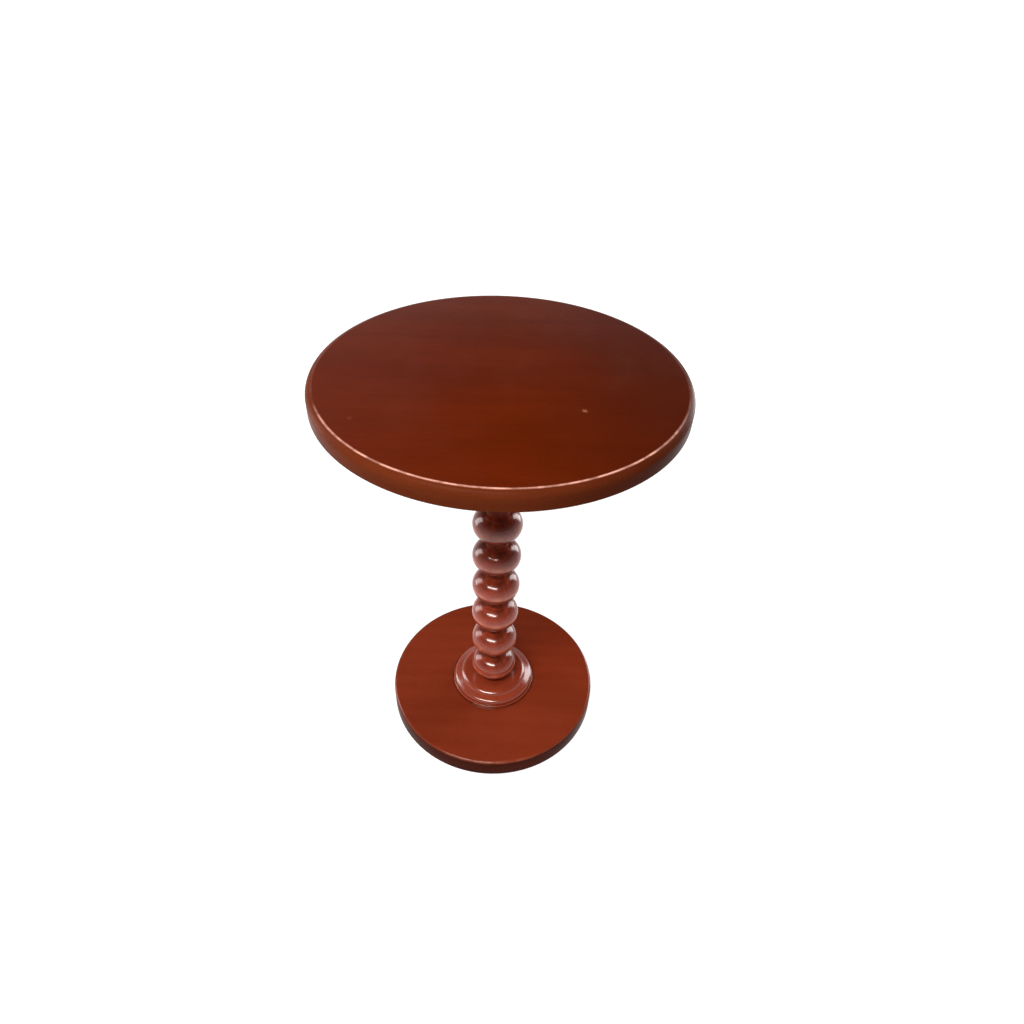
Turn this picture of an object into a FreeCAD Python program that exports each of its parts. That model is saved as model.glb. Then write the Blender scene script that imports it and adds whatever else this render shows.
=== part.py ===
import FreeCAD, Part
import Sketcher
import math
import operator
import os
from types import SimpleNamespace

# Pedestal accent table: a round top on a bead-turned column, a turned foot collar and a round base.
# Millimetres, +Z up, origin on the floor under the middle of the column.

# Driving dimensions: lengths in millimetres, and counts
SIZES = {
    # round top
    "top_diameter": 455,
    "top_thickness": 25,
    "top_arris_in": 7.5,
    "top_arris_drop": 8,
    "top_edge_bend": 9,
    "top_lower_round": 2.5,
    # steel plate under the top
    "plate_diameter": 120,
    "plate_thickness": 5,
    "plate_chamfer": 1,
    "plate_land": 1,
    "plate_screw_count": 4,
    "plate_screw_margin": 14,
    # screws that hold the plate
    "plate_screw_diameter": 4.2,
    "plate_screw_head": 8.4,
    "plate_screw_length": 20,
    "plate_screw_tip": 4,
    "plate_screw_slot_length": 4.8,
    "plate_screw_slot_width": 1.2,
    "plate_screw_slot_depth": 1.6,
    # bolts and threaded inserts at both ends of the column
    "bolt_diameter": 10,
    "bolt_chamfer": 1,
    "bolt_end_room": 5,
    "top_bolt_head": 18,
    "top_bolt_length": 34,
    "top_bolt_socket_width": 6,
    "top_bolt_socket_depth": 2.5,
    "base_bolt_head": 16,
    "base_bolt_head_height": 8,
    "base_bolt_length": 45,
    "base_bolt_socket_width": 8,
    "base_bolt_socket_depth": 5,
    "bolt_head_recess": 2.5,
    "insert_diameter": 16,
    "insert_length": 25,
    "insert_flange_width": 2,
    "insert_flange_thickness": 1.5,
    # turned column
    "bead_count": 9,
    "bead_diameter": 71,
    "bead_height": 43.8,
    "bead_pitch": 59.9,
    "neck_diameter": 31,
    "neck_fillet": 1.5,
    "column_head_length": 3,
    "tenon_shoulder": 2,
    # turned collar at the foot of the column
    "collar_diameter": 132,
    "collar_height": 19,
    "collar_step_height": 3,
    "collar_ledge": 2.2,
    "collar_roll_bend": 6.5,
    "collar_roll_in": 3.6,
    "collar_roll_height": 9.1,
    "collar_slope_width": 7.2,
    "collar_slope_rise": 2.6,
    "collar_crown_bend": 8,
    "collar_crown_width": 6.2,
    # dowels between collar and base
    "dowel_count": 2,
    "dowel_diameter": 8,
    "dowel_length": 22,
    "dowel_base_depth": 12,
    "dowel_chamfer": 1,
    # round base
    "base_diameter": 330,
    "base_thickness": 31,
    "base_upper_round": 4,
    "base_lower_round": 2,
    # washers in the counterbore under the base
    "flat_washer_diameter": 24,
    "flat_washer_thickness": 2,
    "lock_washer_diameter": 18,
    "lock_washer_thickness": 2.5,
    "lock_washer_gap": 1.6,
    "washer_room": 2,
    # floor glides and their screws
    "glide_count": 4,
    "glide_diameter": 26,
    "glide_height": 4,
    "glide_round": 1.5,
    "glide_inset": 30,
    "glide_screw_diameter": 3.5,
    "glide_screw_head": 7,
    "glide_screw_length": 16,
    "glide_screw_tip": 3.5,
    "glide_screw_recess": 0.6,
    "glide_screw_slot_length": 4,
    "glide_screw_slot_width": 1,
    "glide_screw_slot_depth": 1.3,
    # fits
    "fit_clearance": 0.05,
    "bolt_hole_clearance": 0.5,
    "hole_end_room": 0.5,
}

doc = FreeCAD.newDocument("pedestal_table")
sheet = doc.addObject("Spreadsheet::Sheet", "size")
for row, (alias, value) in enumerate(SIZES.items(), start=1):
    sheet.set(f"A{row}", alias)
    sheet.set(f"B{row}", str(value))
    sheet.setAlias(f"B{row}", alias)
doc.recompute()

OPERATORS = {"+": operator.add, "-": operator.sub, "*": operator.mul, "/": operator.truediv}


class Size:
    """A size on the sheet, or one worked out from others: its formula and its present number."""

    def __init__(self, formula, number):
        self.formula = formula
        self.number = number

    def combined(self, sign, other):
        if not isinstance(other, Size):
            other = Size(str(other), other)
        number = OPERATORS[sign](self.number, other.number)
        return Size(f"({self.formula} {sign} {other.formula})", number)

    def __add__(self, other):
        return self.combined("+", other)

    def __sub__(self, other):
        return self.combined("-", other)

    def __mul__(self, other):
        return self.combined("*", other)

    def __truediv__(self, other):
        return self.combined("/", other)


def larger(first, second):
    return Size(f"max({first.formula}; {second.formula})", max(first.number, second.number))


def smaller(first, second):
    return Size(f"min({first.formula}; {second.formula})", min(first.number, second.number))


size = SimpleNamespace(**{alias: Size(f"size.{alias}", sheet.get(alias)) for alias in SIZES})
ZERO = Size("0", 0)

# Heights of the stack, from the floor up
BASE_TOP = size.glide_height + size.base_thickness
BEADS_LENGTH = size.bead_height + (size.bead_count - 1) * size.bead_pitch
COLUMN_LENGTH = size.collar_height + BEADS_LENGTH + size.column_head_length
PLATE_BOTTOM = BASE_TOP + COLUMN_LENGTH
TOP_UNDERSIDE = PLATE_BOTTOM + size.plate_thickness
# Heights inside the counterbore under the base
BOLT_HEAD_BOTTOM = size.glide_height + size.bolt_head_recess
LOCK_WASHER_BOTTOM = BOLT_HEAD_BOTTOM + size.base_bolt_head_height
FLAT_WASHER_BOTTOM = LOCK_WASHER_BOTTOM + size.lock_washer_thickness
COUNTERBORE_TOP = FLAT_WASHER_BOTTOM + size.flat_washer_thickness
# Radii shared by pieces that fit each other
NECK_RADIUS = size.neck_diameter / 2
TENON_RADIUS = NECK_RADIUS - size.tenon_shoulder
BOLT_RADIUS = size.bolt_diameter / 2
INSERT_RADIUS = size.insert_diameter / 2
INSERT_FLANGE_RADIUS = INSERT_RADIUS + size.insert_flange_width
# Circles on which the repeated pieces stand
PLATE_SCREW_RING = size.plate_diameter / 2 - size.plate_screw_margin
DOWEL_RING = (TENON_RADIUS + size.collar_diameter / 2) / 2
GLIDE_RING = size.base_diameter / 2 - size.glide_inset


def to(radius, height):
    """A straight run of an outline, ending at this corner."""
    return radius, height, None


def rounded_to(radius, height, bend):
    """A bulging arc of an outline, ending at this corner."""
    return radius, height, bend


def origin_feature(body, role):
    return next(feature for feature in body.Origin.OriginFeatures if feature.Role == role)


def arc(start, end, bend):
    """The short arc from start to end, bulging to the right of the way."""
    chord = end - start
    middle = (start + end) / 2
    across = FreeCAD.Vector(-chord.y, chord.x, 0).normalize()
    centre = middle + across * math.sqrt(max(bend**2 - (chord.Length / 2) ** 2, 0))
    angles = [math.atan2(point.y - centre.y, point.x - centre.x) for point in (start, end)]
    circle = Part.Circle(centre, FreeCAD.Vector(0, 0, 1), bend)
    return Part.ArcOfCircle(circle, *angles)


def fix_corner(sketch, edge, end, radius, height):
    """Holds a corner of an outline at its radius and height."""
    if radius is ZERO:
        sketch.addConstraint(Sketcher.Constraint("PointOnObject", edge, end, -2))
    else:
        across = sketch.addConstraint(Sketcher.Constraint("DistanceX", -1, 1, edge, end, radius.number))
        sketch.setExpression(f"Constraints[{across}]", radius.formula)
    if height is ZERO:
        sketch.addConstraint(Sketcher.Constraint("PointOnObject", edge, end, -1))
    else:
        up = sketch.addConstraint(Sketcher.Constraint("DistanceY", -1, 1, edge, end, height.number))
        sketch.setExpression(f"Constraints[{up}]", height.formula)


def outline(body, name, corners, ring=ZERO):
    """Half section in the XZ plane, its corners running anticlockwise, about an axis ring out from Z."""
    sketch = body.newObject("Sketcher::SketchObject", name)
    sketch.AttachmentSupport = [(origin_feature(body, "XZ_Plane"), "")]
    sketch.MapMode = "FlatFace"
    if ring is not ZERO:
        corners = [(ring + radius, height, bend) for radius, height, bend in corners]
    points = [FreeCAD.Vector(radius.number, height.number, 0) for radius, height, _ in corners]
    for index, (_, _, bend) in enumerate(corners):
        if bend is None:
            sketch.addGeometry(Part.LineSegment(points[index - 1], points[index]))
        else:
            sketch.addGeometry(arc(points[index - 1], points[index], bend.number))
    for index, (radius, height, bend) in enumerate(corners):
        following = (index + 1) % len(corners)
        sketch.addConstraint(Sketcher.Constraint("Coincident", index, 2, following, 1))
        fix_corner(sketch, index, 2, radius, height)
        if bend is not None:
            held = sketch.addConstraint(Sketcher.Constraint("Radius", index, bend.number))
            sketch.setExpression(f"Constraints[{held}]", bend.formula)
    if ring is not ZERO:
        foot = FreeCAD.Vector(ring.number, 0, 0)
        head = FreeCAD.Vector(ring.number, ring.number, 0)
        axis = sketch.addGeometry(Part.LineSegment(foot, head), True)
        fix_corner(sketch, axis, 1, ring, ZERO)
        fix_corner(sketch, axis, 2, ring, ring)
    return sketch


def revolve(body, kind, name, corners, ring=ZERO):
    """Adds or cuts a full turn of an outline and returns the feature."""
    profile = outline(body, f"{name}_outline", corners, ring)
    feature = body.newObject(kind, name)
    feature.Profile = profile
    feature.ReferenceAxis = (profile, ["V_Axis" if ring is ZERO else "Axis0"])
    feature.Angle = 360
    doc.recompute()
    return feature


def turned(label, corners):
    """A piece turned on a lathe, as a body of its own."""
    body = doc.addObject("PartDesign::Body", label)
    revolve(body, "PartDesign::Revolution", f"{label}_turning", corners)
    return body


def drill_ring(body, name, corners, ring, count):
    """Cuts the same hole at equal turns round the axis of a body."""
    before = body.Shape.Volume
    hole = revolve(body, "PartDesign::Groove", name, corners, ring)
    if body.Shape.Volume >= before:
        raise RuntimeError(f"{name} cuts nothing")
    pattern = body.newObject("PartDesign::PolarPattern", f"{name}_ring")
    pattern.Originals = [hole]
    pattern.Axis = (origin_feature(body, "Z_Axis"), [""])
    pattern.Angle = 360
    pattern.setExpression("Occurrences", count.formula)
    body.Tip = pattern
    doc.recompute()


def cut_slot(body, name, length, width, depth):
    """Cuts a slot that is centred on the axis and rises from height zero."""
    slot = body.newObject("PartDesign::SubtractiveBox", name)
    slot.setExpression("Length", length.formula)
    slot.setExpression("Width", width.formula)
    slot.setExpression("Height", depth.formula)
    slot.setExpression("Placement.Base.x", f"-{length.formula} / 2")
    slot.setExpression("Placement.Base.y", f"-{width.formula} / 2")
    doc.recompute()


def cut_hex_socket(body, name, width, depth, floor):
    """Cuts a hexagonal key socket, measured across its flats."""
    socket = body.newObject("PartDesign::SubtractivePrism", name)
    socket.Polygon = 6
    socket.setExpression("Circumradius", f"{width.formula} / sqrt(3)")
    socket.setExpression("Height", depth.formula)
    socket.setExpression("Placement.Base.z", floor.formula)
    doc.recompute()


def raise_to(piece, height):
    piece.setExpression("Placement.Base.z", height.formula)


def stand_on_ring(piece, index, count, ring, height):
    """Places one of a set of equal pieces at its turn round the table's axis."""
    angle = f"360 deg * {index} / {count.formula}"
    piece.setExpression("Placement.Base.x", f"{ring.formula} * cos({angle})")
    piece.setExpression("Placement.Base.y", f"{ring.formula} * sin({angle})")
    raise_to(piece, height)


def ring_group(label, make_one, count, ring, height):
    """Equal fasteners in one node, each a solid of its own."""
    pieces = []
    for index in range(int(count.number)):
        piece = make_one(f"{label}_{index + 1}")
        stand_on_ring(piece, index, count, ring, height)
        pieces.append(piece)
    group = doc.addObject("Part::Compound", label)
    group.Links = pieces
    return group


def plain_hole(radius, start, end):
    """Half section of a plain round hole between two heights."""
    return [to(ZERO, start), to(radius, start), to(radius, end), to(ZERO, end)]


def make_tabletop():
    radius = size.top_diameter / 2
    thickness = size.top_thickness
    body = turned(
        "tabletop",
        [
            to(ZERO, ZERO),
            to(radius - size.top_lower_round, ZERO),
            rounded_to(radius, size.top_lower_round, size.top_lower_round),
            to(radius, thickness - size.top_arris_drop),
            rounded_to(radius - size.top_arris_in, thickness, size.top_edge_bend),
            to(ZERO, thickness),
        ],
    )
    pilot_radius = size.plate_screw_diameter / 2 + size.fit_clearance
    pilot_depth = size.plate_screw_length - size.plate_thickness + size.hole_end_room
    pilot = plain_hole(pilot_radius, ZERO, pilot_depth)
    drill_ring(body, "plate_screw_pilot", pilot, PLATE_SCREW_RING, size.plate_screw_count)
    raise_to(body, TOP_UNDERSIDE)
    return body


def make_top_plate():
    radius = size.plate_diameter / 2
    thickness = size.plate_thickness
    bore = BOLT_RADIUS + size.fit_clearance
    mouth = size.top_bolt_head / 2 + size.fit_clearance
    body = turned(
        "top_plate",
        [
            to(bore, ZERO),
            to(radius - size.plate_chamfer, ZERO),
            to(radius, size.plate_chamfer),
            to(radius, thickness),
            to(mouth, thickness),
            to(bore, size.plate_land),
        ],
    )
    screw_radius = size.plate_screw_diameter / 2 + size.fit_clearance
    screw_mouth = size.plate_screw_head / 2 + size.fit_clearance
    countersink = [
        to(ZERO, ZERO),
        to(screw_mouth, ZERO),
        to(screw_radius, screw_mouth - screw_radius),
        to(screw_radius, thickness),
        to(ZERO, thickness),
    ]
    drill_ring(body, "plate_screw_hole", countersink, PLATE_SCREW_RING, size.plate_screw_count)
    raise_to(body, PLATE_BOTTOM)
    return body


def turned_screw(label, diameter, head, length, tip):
    """A countersunk wood screw with its head face at height zero and its point upwards."""
    radius = diameter / 2
    return turned(
        label,
        [
            to(ZERO, ZERO),
            to(head / 2, ZERO),
            to(radius, head / 2 - radius),
            to(radius, length - tip),
            to(ZERO, length),
        ],
    )


def cut_cross_recess(body, length, width, depth):
    cut_slot(body, f"{body.Label}_slot_along", length, width, depth)
    cut_slot(body, f"{body.Label}_slot_across", width, length, depth)


def make_plate_screw(label):
    screw = turned_screw(
        label,
        size.plate_screw_diameter,
        size.plate_screw_head,
        size.plate_screw_length,
        size.plate_screw_tip,
    )
    cut_cross_recess(
        screw, size.plate_screw_slot_length, size.plate_screw_slot_width, size.plate_screw_slot_depth
    )
    return screw


def make_glide_screw(label):
    screw = turned_screw(
        label,
        size.glide_screw_diameter,
        size.glide_screw_head,
        size.glide_screw_length,
        size.glide_screw_tip,
    )
    cut_cross_recess(
        screw, size.glide_screw_slot_length, size.glide_screw_slot_width, size.glide_screw_slot_depth
    )
    return screw


def make_top_bolt():
    """Countersunk bolt: its head fills the plate's countersink, its shank hangs into the column."""
    length = size.top_bolt_length
    head_height = size.plate_thickness - size.plate_land
    body = turned(
        "top_bolt",
        [
            to(ZERO, ZERO),
            to(BOLT_RADIUS - size.bolt_chamfer, ZERO),
            to(BOLT_RADIUS, size.bolt_chamfer),
            to(BOLT_RADIUS, length - head_height),
            to(size.top_bolt_head / 2, length),
            to(ZERO, length),
        ],
    )
    socket_floor = length - size.top_bolt_socket_depth
    cut_hex_socket(
        body, "top_bolt_socket", size.top_bolt_socket_width, size.top_bolt_socket_depth, socket_floor
    )
    raise_to(body, TOP_UNDERSIDE - length)
    return body


def make_insert(label):
    """Threaded insert with its flange at height zero."""
    bore = BOLT_RADIUS + size.fit_clearance
    return turned(
        label,
        [
            to(bore, ZERO),
            to(INSERT_FLANGE_RADIUS, ZERO),
            to(INSERT_FLANGE_RADIUS, size.insert_flange_thickness),
            to(INSERT_RADIUS, size.insert_flange_thickness),
            to(INSERT_RADIUS, size.insert_length - size.bolt_chamfer),
            to(INSERT_RADIUS - size.bolt_chamfer, size.insert_length),
            to(bore, size.insert_length),
        ],
    )


def make_column_top_insert():
    insert = make_insert("column_top_insert")
    insert.Placement.Rotation = FreeCAD.Rotation(FreeCAD.Vector(1, 0, 0), 180)
    raise_to(insert, PLATE_BOTTOM)
    return insert


def make_column_foot_insert():
    insert = make_insert("column_foot_insert")
    raise_to(insert, BASE_TOP)
    return insert


def make_column():
    """Turned column: tenon, a row of beads on a plain neck, and a bore for an insert at each end."""
    length = COLUMN_LENGTH
    shoulder = size.collar_height
    bore = INSERT_RADIUS + size.fit_clearance
    mouth = INSERT_FLANGE_RADIUS + size.fit_clearance
    mouth_depth = size.insert_flange_thickness
    base_bolt_reach = size.base_bolt_length - (BASE_TOP - LOCK_WASHER_BOTTOM)
    top_bolt_reach = size.top_bolt_length - size.plate_thickness
    foot_depth = larger(base_bolt_reach, size.insert_length) + size.bolt_end_room
    head_depth = larger(top_bolt_reach, size.insert_length) + size.bolt_end_room
    body = turned(
        "column",
        [
            to(ZERO, foot_depth),
            to(bore, foot_depth),
            to(bore, mouth_depth),
            to(mouth, mouth_depth),
            to(mouth, ZERO),
            to(TENON_RADIUS, ZERO),
            to(TENON_RADIUS, shoulder),
            to(NECK_RADIUS, shoulder),
            to(NECK_RADIUS, length),
            to(mouth, length),
            to(mouth, length - mouth_depth),
            to(bore, length - mouth_depth),
            to(bore, length - head_depth),
            to(ZERO, length - head_depth),
        ],
    )
    half_height = size.bead_height / 2
    bulge = size.bead_diameter / 2 - NECK_RADIUS
    bead_bend = (half_height * half_height + bulge * bulge) / (bulge * 2)
    bead = revolve(
        body,
        "PartDesign::Revolution",
        "bead",
        [
            to(TENON_RADIUS, shoulder),
            to(NECK_RADIUS, shoulder),
            rounded_to(size.bead_diameter / 2, shoulder + half_height, bead_bend),
            rounded_to(NECK_RADIUS, shoulder + size.bead_height, bead_bend),
            to(TENON_RADIUS, shoulder + size.bead_height),
        ],
    )
    beads = body.newObject("PartDesign::LinearPattern", "beads")
    beads.Originals = [bead]
    beads.Direction = (origin_feature(body, "Z_Axis"), [""])
    beads.setExpression("Length", (BEADS_LENGTH - size.bead_height).formula)
    beads.setExpression("Occurrences", size.bead_count.formula)
    body.Tip = beads
    doc.recompute()
    soften_necks(body, beads)
    raise_to(body, BASE_TOP)
    return body


def soften_necks(body, beads):
    """Rounds the inner corners where the beads leave the neck."""
    corners = []
    for number, edge in enumerate(beads.Shape.Edges, start=1):
        curve = edge.Curve
        on_neck = isinstance(curve, Part.Circle) and math.isclose(
            curve.Radius, NECK_RADIUS.number, rel_tol=1e-6
        )
        at_end = on_neck and any(
            math.isclose(curve.Center.z, height.number, rel_tol=1e-6)
            for height in (size.collar_height, COLUMN_LENGTH)
        )
        if on_neck and not at_end:
            corners.append(f"Edge{number}")
    rounding = body.newObject("PartDesign::Fillet", "neck_rounding")
    rounding.Base = (beads, corners)
    rounding.setExpression("Radius", smaller(size.neck_fillet, size.column_head_length / 2).formula)
    doc.recompute()


def make_foot_collar():
    """Turned collar: thin square step, an outer roll, and a crown with a flat under the lowest bead."""
    bore = TENON_RADIUS + size.fit_clearance
    step_radius = size.collar_diameter / 2
    roll_foot = step_radius - size.collar_ledge
    roll_head = roll_foot - size.collar_roll_in
    roll_top = size.collar_step_height + size.collar_roll_height
    crown_foot = roll_head - size.collar_slope_width
    crown_base = roll_top + size.collar_slope_rise
    crown_head = crown_foot - size.collar_crown_width
    body = turned(
        "foot_collar",
        [
            to(bore, ZERO),
            to(step_radius, ZERO),
            to(step_radius, size.collar_step_height),
            to(roll_foot, size.collar_step_height),
            rounded_to(roll_head, roll_top, size.collar_roll_bend),
            to(crown_foot, crown_base),
            rounded_to(crown_head, size.collar_height, size.collar_crown_bend),
            to(bore, size.collar_height),
        ],
    )
    hole_radius = size.dowel_diameter / 2 + size.fit_clearance
    hole_depth = size.dowel_length - size.dowel_base_depth + size.hole_end_room
    dowel_hole = plain_hole(hole_radius, ZERO, hole_depth)
    drill_ring(body, "collar_dowel_hole", dowel_hole, DOWEL_RING, size.dowel_count)
    raise_to(body, BASE_TOP)
    return body


def make_dowel(label):
    radius = size.dowel_diameter / 2
    length = size.dowel_length
    return turned(
        label,
        [
            to(ZERO, ZERO),
            to(radius - size.dowel_chamfer, ZERO),
            to(radius, size.dowel_chamfer),
            to(radius, length - size.dowel_chamfer),
            to(radius - size.dowel_chamfer, length),
            to(ZERO, length),
        ],
    )


def make_base_disc():
    radius = size.base_diameter / 2
    thickness = size.base_thickness
    bolt_hole = BOLT_RADIUS + size.bolt_hole_clearance
    counterbore = size.flat_washer_diameter / 2 + size.washer_room
    counterbore_depth = COUNTERBORE_TOP - size.glide_height
    body = turned(
        "base_disc",
        [
            to(bolt_hole, counterbore_depth),
            to(counterbore, counterbore_depth),
            to(counterbore, ZERO),
            to(radius - size.base_lower_round, ZERO),
            rounded_to(radius, size.base_lower_round, size.base_lower_round),
            to(radius, thickness - size.base_upper_round),
            rounded_to(radius - size.base_upper_round, thickness, size.base_upper_round),
            to(bolt_hole, thickness),
        ],
    )
    dowel_radius = size.dowel_diameter / 2 + size.fit_clearance
    dowel_floor = thickness - size.dowel_base_depth - size.hole_end_room
    dowel_hole = plain_hole(dowel_radius, dowel_floor, thickness)
    drill_ring(body, "base_dowel_hole", dowel_hole, DOWEL_RING, size.dowel_count)
    pilot_radius = size.glide_screw_diameter / 2 + size.fit_clearance
    screw_top = size.glide_screw_recess + size.glide_screw_length
    pilot_depth = screw_top - size.glide_height + size.hole_end_room
    pilot = plain_hole(pilot_radius, ZERO, pilot_depth)
    drill_ring(body, "glide_screw_pilot", pilot, GLIDE_RING, size.glide_count)
    raise_to(body, size.glide_height)
    return body


def make_base_bolt():
    """Socket-head bolt, head down, that draws the base up against the column's tenon."""
    head_radius = size.base_bolt_head / 2
    head_height = size.base_bolt_head_height
    length = head_height + size.base_bolt_length
    body = turned(
        "base_bolt",
        [
            to(ZERO, ZERO),
            to(head_radius - size.bolt_chamfer, ZERO),
            to(head_radius, size.bolt_chamfer),
            to(head_radius, head_height),
            to(BOLT_RADIUS, head_height),
            to(BOLT_RADIUS, length - size.bolt_chamfer),
            to(BOLT_RADIUS - size.bolt_chamfer, length),
            to(ZERO, length),
        ],
    )
    cut_hex_socket(
        body, "base_bolt_socket", size.base_bolt_socket_width, size.base_bolt_socket_depth, ZERO
    )
    raise_to(body, BOLT_HEAD_BOTTOM)
    return body


def turned_washer(label, diameter, thickness):
    bore = BOLT_RADIUS + size.bolt_hole_clearance
    return turned(
        label,
        [to(bore, ZERO), to(diameter / 2, ZERO), to(diameter / 2, thickness), to(bore, thickness)],
    )


def make_base_flat_washer():
    washer = turned_washer("base_flat_washer", size.flat_washer_diameter, size.flat_washer_thickness)
    raise_to(washer, FLAT_WASHER_BOTTOM)
    return washer


def make_base_lock_washer():
    """Spring washer, pressed flat, with its split on the +X side."""
    washer = turned_washer("base_lock_washer", size.lock_washer_diameter, size.lock_washer_thickness)
    split = washer.newObject("PartDesign::SubtractiveBox", "lock_washer_split")
    split.setExpression("Length", size.lock_washer_diameter.formula)
    split.setExpression("Width", size.lock_washer_gap.formula)
    split.setExpression("Height", size.lock_washer_thickness.formula)
    split.setExpression("Placement.Base.y", f"-{size.lock_washer_gap.formula} / 2")
    raise_to(washer, LOCK_WASHER_BOTTOM)
    return washer


def make_floor_glide(index):
    """Moulded glide with a countersunk hole, its screw head held clear of the floor."""
    radius = size.glide_diameter / 2
    hole = size.glide_screw_diameter / 2 + size.fit_clearance
    mouth = size.glide_screw_head / 2 + size.fit_clearance
    recess = size.glide_screw_recess
    body = turned(
        f"floor_glide_{index + 1}",
        [
            to(hole, recess + mouth - hole),
            to(mouth, recess),
            to(mouth, ZERO),
            to(radius - size.glide_round, ZERO),
            rounded_to(radius, size.glide_round, size.glide_round),
            to(radius, size.glide_height),
            to(hole, size.glide_height),
        ],
    )
    stand_on_ring(body, index, size.glide_count, GLIDE_RING, ZERO)
    return body


pieces = [
    make_tabletop(),
    make_top_plate(),
    ring_group("plate_screws", make_plate_screw, size.plate_screw_count, PLATE_SCREW_RING, PLATE_BOTTOM),
    make_top_bolt(),
    make_column_top_insert(),
    make_column(),
    make_column_foot_insert(),
    make_foot_collar(),
    ring_group("collar_dowels", make_dowel, size.dowel_count, DOWEL_RING, BASE_TOP - size.dowel_base_depth),
    make_base_disc(),
    make_base_bolt(),
    make_base_lock_washer(),
    make_base_flat_washer(),
    ring_group("glide_screws", make_glide_screw, size.glide_count, GLIDE_RING, size.glide_screw_recess),
]
pieces += [make_floor_glide(index) for index in range(int(size.glide_count.number))]
doc.recompute()

for thing in doc.Objects:
    if "Invalid" in thing.State or "Error" in thing.State:
        raise RuntimeError(f"{thing.Label} could not be worked out")
for piece in pieces:
    if piece.Shape.isNull() or not piece.Shape.isValid():
        raise RuntimeError(f"{piece.Label} has no valid shape")

os.makedirs("parts", exist_ok=True)
for piece in pieces:
    piece.Shape.exportStep(f"parts/{piece.Label}.step")
    print(piece.Label, len(piece.Shape.Solids), round(piece.Shape.Volume / 1000, 2), "cm3")
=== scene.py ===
import math

import bpy
from mathutils import Matrix, Vector


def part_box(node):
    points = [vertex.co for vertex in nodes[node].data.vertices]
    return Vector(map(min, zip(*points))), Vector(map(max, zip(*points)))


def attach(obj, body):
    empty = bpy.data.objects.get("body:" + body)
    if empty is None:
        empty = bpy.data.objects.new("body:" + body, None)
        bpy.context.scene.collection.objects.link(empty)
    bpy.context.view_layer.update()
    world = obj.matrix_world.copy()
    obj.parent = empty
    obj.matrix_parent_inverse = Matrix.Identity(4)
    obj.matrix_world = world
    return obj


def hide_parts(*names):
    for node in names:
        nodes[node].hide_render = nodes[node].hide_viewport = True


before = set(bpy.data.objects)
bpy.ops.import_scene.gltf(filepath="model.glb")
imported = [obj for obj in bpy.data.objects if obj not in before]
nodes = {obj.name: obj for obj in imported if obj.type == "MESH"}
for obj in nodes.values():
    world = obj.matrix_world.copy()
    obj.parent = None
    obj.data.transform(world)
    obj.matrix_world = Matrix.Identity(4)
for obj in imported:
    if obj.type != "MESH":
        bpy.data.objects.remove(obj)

# Pedestal accent table: gloss red-brown lacquer on a bead-turned column, metres, +Z up
scene = bpy.context.scene
scene.view_settings.view_transform = "Standard"
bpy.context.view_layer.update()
print("frame loaded,", len(nodes), "nodes")

# lathe work

lathe = {"seedSize": 0.001, "weld": 0.00001, "softAngle": 28}
# limits of a face's upward normal, and the reach of the necks from the axis
faceLimits = {"under": -0.98, "topEdge": 0.97, "baseRim": 0.40, "neckReach": 0.0185}


def arcRun(centre, radius, startAngle, endAngle, steps):
    points = []
    for step in range(steps + 1):
        angle = math.radians(startAngle + (endAngle - startAngle) * step / steps)
        points.append((centre[0] + radius * math.cos(angle), centre[1] + radius * math.sin(angle)))
    return points


def bulge(start, end, bend, steps):
    # arc from start to end that bulges to the right of the way
    chord = (end[0] - start[0], end[1] - start[1])
    length = math.hypot(*chord)
    rise = math.sqrt(bend ** 2 - (length / 2) ** 2)
    centre = (
        (start[0] + end[0]) / 2 - chord[1] / length * rise,
        (start[1] + end[1]) / 2 + chord[0] / length * rise,
    )
    angles = [math.degrees(math.atan2(p[1] - centre[1], p[0] - centre[0])) for p in (start, end)]
    return arcRun(centre, bend, *angles, steps)


def turnOnLathe(name, outline, steps):
    # one point is drawn out along the half section, then spun about Z
    bpy.ops.object.select_all(action="DESELECT")
    startRadius, startHeight = outline[0]
    bpy.ops.mesh.primitive_plane_add(
        size=lathe["seedSize"], location=(startRadius, 0, startHeight)
    )
    piece = bpy.context.active_object
    piece.name = name
    piece.data.name = name
    bpy.ops.object.transform_apply(location=True, rotation=True, scale=True)
    bpy.ops.object.mode_set(mode="EDIT")
    bpy.ops.mesh.select_all(action="SELECT")
    bpy.ops.mesh.merge(type="CENTER")
    here = outline[0]
    for point in outline[1:]:
        step = (point[0] - here[0], 0, point[1] - here[1])
        bpy.ops.mesh.extrude_region_move(TRANSFORM_OT_translate={"value": step})
        here = point
    bpy.ops.mesh.select_all(action="SELECT")
    bpy.ops.mesh.spin(steps=steps, angle=2 * math.pi, center=(0, 0, 0), axis=(0, 0, 1))
    bpy.ops.mesh.select_all(action="SELECT")
    bpy.ops.mesh.remove_doubles(threshold=lathe["weld"])
    bpy.ops.mesh.normals_make_consistent(inside=False)
    bpy.ops.object.mode_set(mode="OBJECT")
    bpy.ops.object.shade_smooth_by_angle(angle=math.radians(lathe["softAngle"]))
    return piece


def standFor(piece, node):
    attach(piece, "root")
    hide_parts(node)


def paintFaces(piece, material, chosen):
    # the faces that pass the test get another material
    piece.data.materials.append(material)
    added = len(piece.data.materials) - 1
    for face in piece.data.polygons:
        if chosen(face):
            face.material_index = added


def facesOut(face):
    return faceLimits["under"] <= face.normal.z <= faceLimits["topEdge"]


def facesRim(face):
    return faceLimits["under"] <= face.normal.z <= faceLimits["baseRim"]


def facesDown(face):
    return face.normal.z < faceLimits["under"]


def onNeck(face):
    return face.center.xy.length < faceLimits["neckReach"]


# shader helpers

noiseSpan = (0.3, 0.7)  # where most of a noise's values lie


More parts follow.
